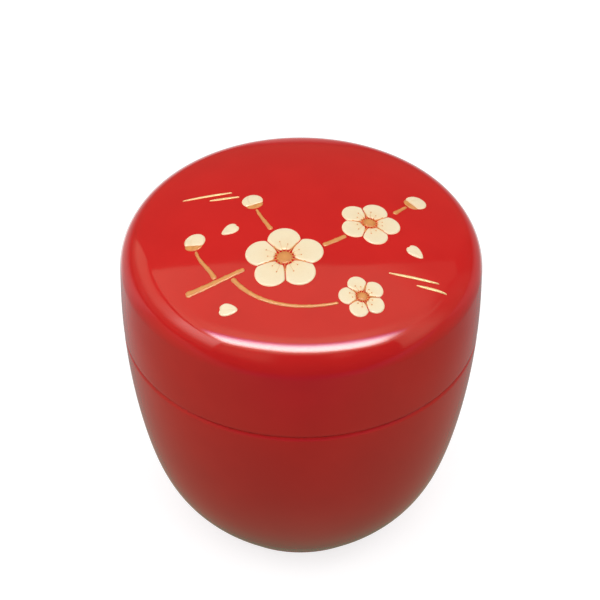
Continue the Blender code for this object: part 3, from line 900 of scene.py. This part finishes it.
# World: white behind the caddy, and a plain soft fill on it.
FILL = 0.73
world = bpy.data.worlds.new("studio")
bpy.context.scene.world = world
world.use_nodes = True
tree = world.node_tree
background = tree.nodes["Background"]
background.inputs["Color"].default_value = (1.0, 1.0, 1.0, 1.0)
level = tree.nodes.new("ShaderNodeMapRange")
level.inputs["To Min"].default_value = FILL
level.inputs["To Max"].default_value = 1.0
tree.links.new(seen_by(tree), level.inputs["Value"])
tree.links.new(level.outputs["Result"], background.inputs["Strength"])

# Lamps: large soft ones high in front, at the left and behind by the right, for the lacquer's own colour.
LAMP_SIZE = 0.5
LAMP_DISTANCE = 0.9
LAMPS = {"front": (180.0, 57.0, 2.07), "left": (-78.0, 20.0, 2.25), "right": (55.0, 15.0, 2.40)}


def aimed(azimuth, elevation):
    """A direction in degrees: its azimuth, counted from behind the caddy by its right, and its elevation."""
    around = math.radians(azimuth)
    rise = math.radians(elevation)
    return Vector((math.sin(around) * math.cos(rise), math.cos(around) * math.cos(rise), math.sin(rise)))


for name, (azimuth, elevation, power) in LAMPS.items():
    lamp_data = bpy.data.lights.new("lamp_" + name, "AREA")
    lamp_data.size = LAMP_SIZE
    lamp_data.energy = power
    lamp = bpy.data.objects.new("lamp_" + name, lamp_data)
    bpy.context.collection.objects.link(lamp)
    lamp.location = aimed(azimuth, elevation) * LAMP_DISTANCE
    lamp.rotation_euler = lamp.location.to_track_quat("Z", "Y").to_euler()
    lamp.visible_camera = False
    lamp.visible_glossy = False

# Tent: painted reflections for the polish to mirror. Each sheet stands for a cloth or a board round the
# caddy and glows at a plain level of its own, though it is no lamp, and is seen in reflections alone:
# a roof with a strip light in front that paints the highlight on the lid, two side walls, the paper that
# the caddy stands on with a painted shadow round its foot, and black cloth round the rest.
ROOF_HEIGHT = 1.5
ROOF_LEFT = -1.215
ROOF_WIDTH = 2.715
ROOF_FRONT = -1.2
ROOF_FLARE = 0.25
ARCH_DEPTH = 0.585
LEFT_ARCH = (0.70, 0.93)
RIGHT_ARCH = (1.20, 1.15)
WALL_REACH = 2.0
LEFT_WALL_START = -128.0
LEFT_WALL_SPAN = 88.0
LEFT_WALL_FOOT = 4.0
LEFT_WALL_TOP = 36.5
RIGHT_WALL_START = 56.0
RIGHT_WALL_SPAN = 64.0
RIGHT_WALL_FOOT = -1.9
RIGHT_WALL_RISE = 37.9
MIRRORED_PAPER_HEIGHT = 0.2 * MM
STRIP_LEVEL = 19.0
WHITE_LIGHT = Vector((1.0, 1.0, 1.0))
WARM_CLOTH = Vector((1.0, 1.0, 0.68))
PAINTED_VIOLET_TINT = Vector((0.3, 0.0, 1.0))


def ramp(value, start, end):
    """A smooth step from 0 to 1 as a value goes from one number to another."""
    share = min(max((value - start) / (end - start), 0.0), 1.0)
    return share * share * (3.0 - 2.0 * share)


def sheet(name, place, light, columns, rows):
    """A sheet over two shares from 0 to 1. Place gives its points and light how each one shines."""
    shares = [(i / columns, j / rows) for j in range(rows + 1) for i in range(columns + 1)]
    points = [place(across, along) for across, along in shares]
    faces = []
    for j in range(rows):
        for i in range(columns):
            corner = j * (columns + 1) + i
            faces.append((corner, corner + 1, corner + columns + 2, corner + columns + 1))
    mesh = bpy.data.meshes.new(name)
    mesh.from_pydata(points, [], faces)
    glow = mesh.attributes.new("glow", "FLOAT_COLOR", "POINT")
    for spot, point in zip(glow.data, points):
        spot.color = (*light(point), 1.0)
    material = bpy.data.materials.new(name)
    material.use_nodes = True
    tree = material.node_tree
    tree.nodes.remove(tree.nodes["Principled BSDF"])
    painted = tree.nodes.new("ShaderNodeAttribute")
    painted.attribute_name = "glow"
    shine = tree.nodes.new("ShaderNodeEmission")
    tree.links.new(painted.outputs["Color"], shine.inputs["Color"])
    tree.links.new(shine.outputs["Emission"], tree.nodes["Material Output"].inputs["Surface"])
    mesh.materials.append(material)
    piece = bpy.data.objects.new(name, mesh)
    bpy.context.collection.objects.link(piece)
    piece.visible_camera = False
    piece.visible_diffuse = False
    piece.visible_shadow = False
    piece.visible_transmission = False
    piece.visible_volume_scatter = False
    return piece


def roof_place(across, along):
    """The roof reaches from in front of the strip light back to an arched opening."""
    x = ROOF_LEFT + ROOF_WIDTH * across
    slope, furthest = LEFT_ARCH if x < 0 else RIGHT_ARCH
    arch = min(math.hypot(ARCH_DEPTH, slope * x), furthest)
    y = ROOF_FRONT + along * (arch - ROOF_FRONT)
    x += ROOF_FLARE * max(y, 0.0) * (1.0 - across)
    return Vector((x * ROOF_HEIGHT, y * ROOF_HEIGHT, CADDY_HEIGHT + ROOF_HEIGHT))


def roof_light(point):
    """Cloth that is brighter near the strip light and dims to the back by the right."""
    x = point.x / ROOF_HEIGHT
    y = point.y / ROOF_HEIGHT
    cloth = 0.80 + ramp(y, 0.2, -0.2) * (0.9 - 0.65 * ramp(abs(x), 0.3, 0.9))
    cloth *= 0.33 + 0.67 * ramp(y + 0.6 * x, 1.25, 0.75)
    cloth += 0.16 * ramp(x, -0.45, -0.75) + 0.22 * ramp(x, -0.88, -1.0) * ramp(y, 0.4, 0.2)
    ends = ramp(x, -1.14, -0.88) * ramp(x, 1.45, 0.70)
    strip = STRIP_LEVEL * ends * ramp(y - 0.06 * ramp(x, 0.0, -0.5), -0.98, -0.70)
    edge = ramp(y, -0.29, -0.61)
    fringe = ramp(y, -0.25, -0.58)
    return cloth * ramp(y, ROOF_FRONT, -0.98) * WARM_CLOTH + strip * Vector((edge, edge, fringe))


def wall_point(azimuth, elevation):
    """The point of the round wall that the lid sees at an azimuth and an elevation."""
    direction = aimed(azimuth, elevation)
    flat = math.hypot(direction.x, direction.y)
    return direction / flat * WALL_REACH + Vector((0.0, 0.0, CADDY_HEIGHT))


def seen_at(point):
    """The azimuth and elevation at which the lid sees a point, in degrees."""
    rise = math.atan2(point.z - CADDY_HEIGHT, math.hypot(point.x, point.y))
    return math.degrees(math.atan2(point.x, point.y)), math.degrees(rise)


def left_place(across, along):
    """The left wall goes round from the front, and its top comes down a little towards the back."""
    azimuth = LEFT_WALL_START + LEFT_WALL_SPAN * across
    top = LEFT_WALL_TOP - 3.0 * ramp(azimuth, -75.0, -45.0)
    return wall_point(azimuth, LEFT_WALL_FOOT + (top - LEFT_WALL_FOOT) * along)


def left_light(point):
    """A white window towards the front, and cloth that is dim low down."""
    azimuth, elevation = seen_at(point)
    window = 1.5 * ramp(azimuth, -89.0, -102.0) + 0.8 * ramp(azimuth, -68.0, -98.0)
    lift = 4.0 * ramp(azimuth, -64.0, -46.0)
    cloth = 0.23 + 0.62 * ramp(elevation + lift, 10.0, 22.0)
    cloth *= 1.0 - 0.45 * ramp(elevation, 29.0, 35.0) * ramp(azimuth, -86.0, -62.0)
    return cloth * WARM_CLOTH + window * ramp(elevation, 10.0, 34.0) * WHITE_LIGHT


def right_place(across, along):
    """The right wall goes round from the back and reaches down to the paper."""
    azimuth = RIGHT_WALL_START + RIGHT_WALL_SPAN * across
    return wall_point(azimuth, RIGHT_WALL_FOOT + RIGHT_WALL_RISE * along)


def right_light(point):
    """A board that shines towards the front and low down fades into the floor."""
    azimuth, elevation = seen_at(point)
    side = 0.12 + 0.12 * ramp(azimuth, 56.0, 72.0) + 0.76 * ramp(azimuth, 79.0, 105.0)
    side *= 1.0 - 0.2 * ramp(azimuth, 110.0, 118.0)
    low = min(side, 0.33)
    board = low + (side - low) * ramp(elevation, -6.0, 13.0)
    upper = 0.85 * ramp(elevation, 24.0, 35.0) * ramp(azimuth, 60.0, 86.0)
    glow = 1.9 * ramp(azimuth, 104.0, 119.0) * ramp(elevation, 27.0, 36.0)
    return max(board, upper) * WARM_CLOTH + glow * WHITE_LIGHT


def paper_place(across, along):
    """The mirrored paper is a round sheet, finest near the caddy."""
    lift = Vector((0.0, 0.0, MIRRORED_PAPER_HEIGHT))
    return aimed(360.0 * across, 0.0) * 2 * WALL_REACH * along ** 3 + lift


def paper_light(point):
    """Paper with a painted shadow of the caddy round its foot, a painted violet tint and dark in front, and
    pale behind the caddy.
    """
    x, y, _ = point
    reach = math.hypot(x, y)
    flank = math.exp(-((abs(x) - 0.063) / 0.02) ** 2)
    near = 0.05 + 0.26 * ramp(y + 0.4 * abs(x), -0.155, -0.03)
    near *= 1.0 - 0.25 * ramp(x, 0.06, 0.10) + 0.1 * ramp(x, -0.10, -0.20)
    near *= ramp(reach, 4.0, 0.5) * (1.0 - 0.5 * ramp(y, 0.2, 0.5))
    near += 0.14 * math.exp(-((reach - 0.030) / 0.009) ** 2 - (x / 0.022) ** 2) * ramp(y, 0.01, -0.02)
    near += (0.04 + 0.08 * ramp(x, 0.02, -0.02)) * flank * ramp(y, -0.03, 0.04)
    # Painted shadow of the caddy on the mirrored paper, darkest right at its foot.
    near *= 0.6 + 0.4 * ramp(reach, 0.017, 0.026)
    behind = 0.06 + 0.40 * math.exp(-((x + 0.02) / 0.09) ** 2)
    behind *= ramp(y, 0.055, 0.085) * ramp(y, 1.6, 0.3)
    behind += 0.45 * flank * ramp(y, 0.055, 0.085) * ramp(y, 0.16, 0.11)
    sides = 0.16 * ramp(x, -0.04, -0.07) + 0.05 * ramp(x, 0.07, 0.10)
    behind += sides * ramp(y, 0.03, 0.06) * ramp(y, 0.3, 0.12)
    # Painted violet tint in the reflection of the paper in front.
    haze = 0.19 * ramp(y, -0.06, -0.14) * (1.0 - 0.5 * ramp(x, -0.05, -0.12))
    haze *= 1.0 - 0.8 * ramp(y, -0.14, -0.26)
    tint = Vector((1.0, 1.0, 0.70 + 0.27 * ramp(y, -0.03, 0.06)))
    return near * tint + behind * WHITE_LIGHT + haze * PAINTED_VIOLET_TINT


def cloth_place(across, along):
    """The cloth is a dome over the paper and round all the rest."""
    return aimed(360.0 * across, -1.0 + 91.0 * along) * 2 * WALL_REACH


def cloth_light(point):
    """Black cloth, a little lighter behind the caddy, with two pale patches beside the camera."""
    azimuth, elevation = seen_at(point)
    turn_away = abs(azimuth)
    level = 0.04 + 0.08 * ramp(azimuth, 42.0, 32.0) * ramp(turn_away, 110.0, 60.0)
    left = 0.45 * ramp(azimuth, -168.0, -157.0) * ramp(azimuth, -126.0, -132.0) * ramp(elevation, 4.0, 26.0)
    right = 0.4 * math.exp(-((azimuth - 154.0) / 8.0) ** 2) * ramp(elevation, 20.0, 36.0)
    haze = 0.03 * ramp(turn_away, 90.0, 125.0) * ramp(elevation, 14.0, -4.0)
    return (level + left + right) * WARM_CLOTH + haze * PAINTED_VIOLET_TINT


sheet("painted_reflection_roof", roof_place, roof_light, 90, 100)
sheet("painted_reflection_left_wall", left_place, left_light, 60, 40)
sheet("painted_reflection_right_wall", right_place, right_light, 50, 40)
sheet("painted_reflection_paper", paper_place, paper_light, 120, 180)
sheet("painted_reflection_black_cloth", cloth_place, cloth_light, 90, 45)

# Camera: a long lens looking down at the lid from the front, held a little out of level.
CAMERA_DISTANCE = 0.72
CAMERA_RISE = math.radians(40.75)
CAMERA_ROLL = math.radians(0.385)
FOCAL_PIXELS = 3871.0
PICTURE = 600
TARGET_PIXEL = (300.62, 354.43)
target = Vector((0.0, 0.0, CADDY_HEIGHT / 2))
camera_data = bpy.data.cameras.new("camera")
camera = bpy.data.objects.new("camera", camera_data)
bpy.context.collection.objects.link(camera)
camera_data.sensor_width = 36.0
camera_data.lens = FOCAL_PIXELS / PICTURE * camera_data.sensor_width
camera_data.shift_x = (PICTURE / 2 - TARGET_PIXEL[0]) / PICTURE
camera_data.shift_y = (TARGET_PIXEL[1] - PICTURE / 2) / PICTURE
camera_data.clip_end = 20.0
back = Vector((0.0, -math.cos(CAMERA_RISE), math.sin(CAMERA_RISE)))
camera.location = target + back * CAMERA_DISTANCE
level_view = Matrix.Rotation(math.pi / 2 - CAMERA_RISE, 3, "X")
camera.rotation_euler = (level_view @ Matrix.Rotation(CAMERA_ROLL, 3, "Z")).to_euler()
bpy.context.scene.camera = camera
bpy.context.scene.view_settings.view_transform = "Standard"
